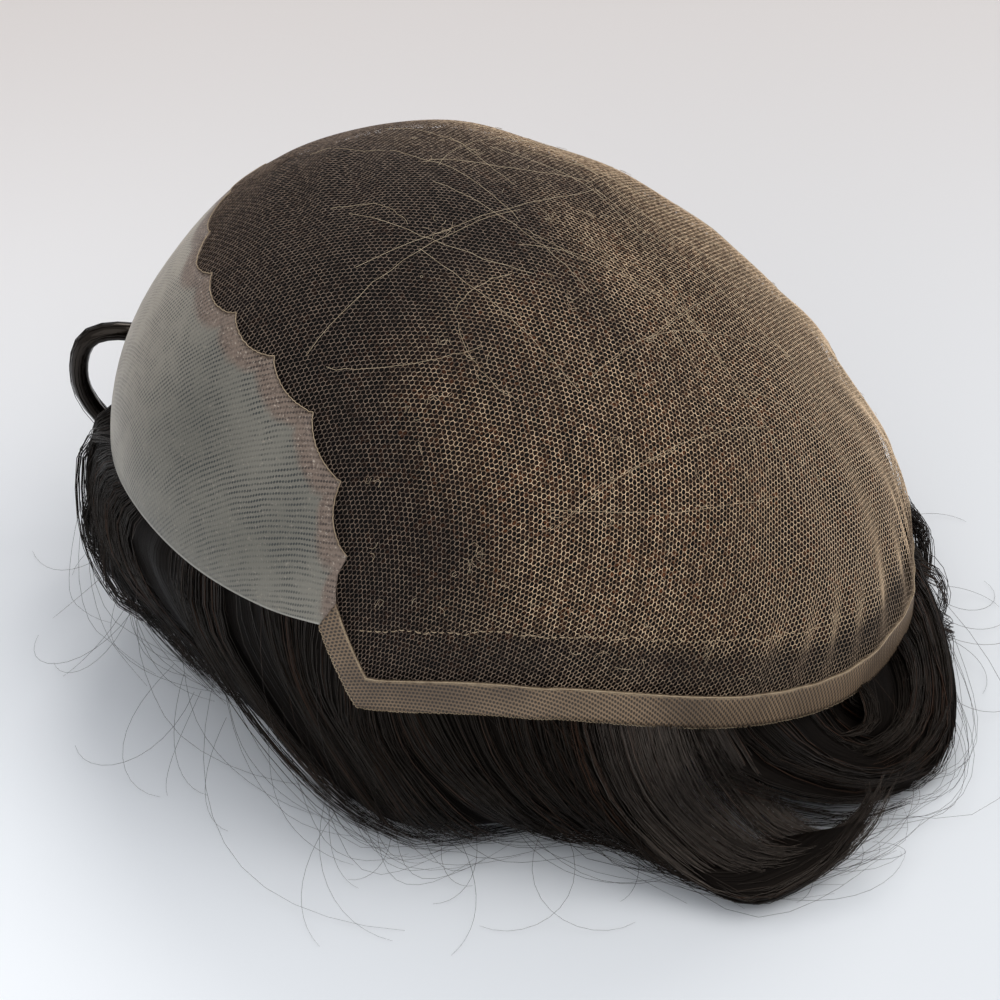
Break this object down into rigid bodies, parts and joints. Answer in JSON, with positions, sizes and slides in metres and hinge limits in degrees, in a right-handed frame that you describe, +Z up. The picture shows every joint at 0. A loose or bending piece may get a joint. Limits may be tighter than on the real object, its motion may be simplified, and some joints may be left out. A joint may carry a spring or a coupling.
{
  "type": "toupee hairpiece",
  "caption": "Domed net hairpiece laid inside out, with a translucent film front, a scalloped seam, a coated edge band and dark wavy hair spilling out under its rim.",
  "frame": {"origin": "centre of the footprint, on the surface the hairpiece lies on", "axes": "+Z up, -Y to the front hairline, +Y to the back of the head, +X to the near side in the picture"},
  "size_m": [0.1758, 0.1884, 0.1132],
  "materials": {
    "film": "translucent grey skin-like film over gauze",
    "net": "fine brown hexagonal net with dark hair knotted through it",
    "band": "tan net coated with a thin clear film",
    "hair": "glossy very dark brown hair"
  },
  "bodies": {
    "root": {"poly_front": "film", "lace_crown": "net", "edge_band": "band", "hair_lining": "hair", "front_hair": "hair", "near_side_hair": "hair", "far_side_hair": "hair", "back_hair": "hair"}
  },
  "joints": []
}
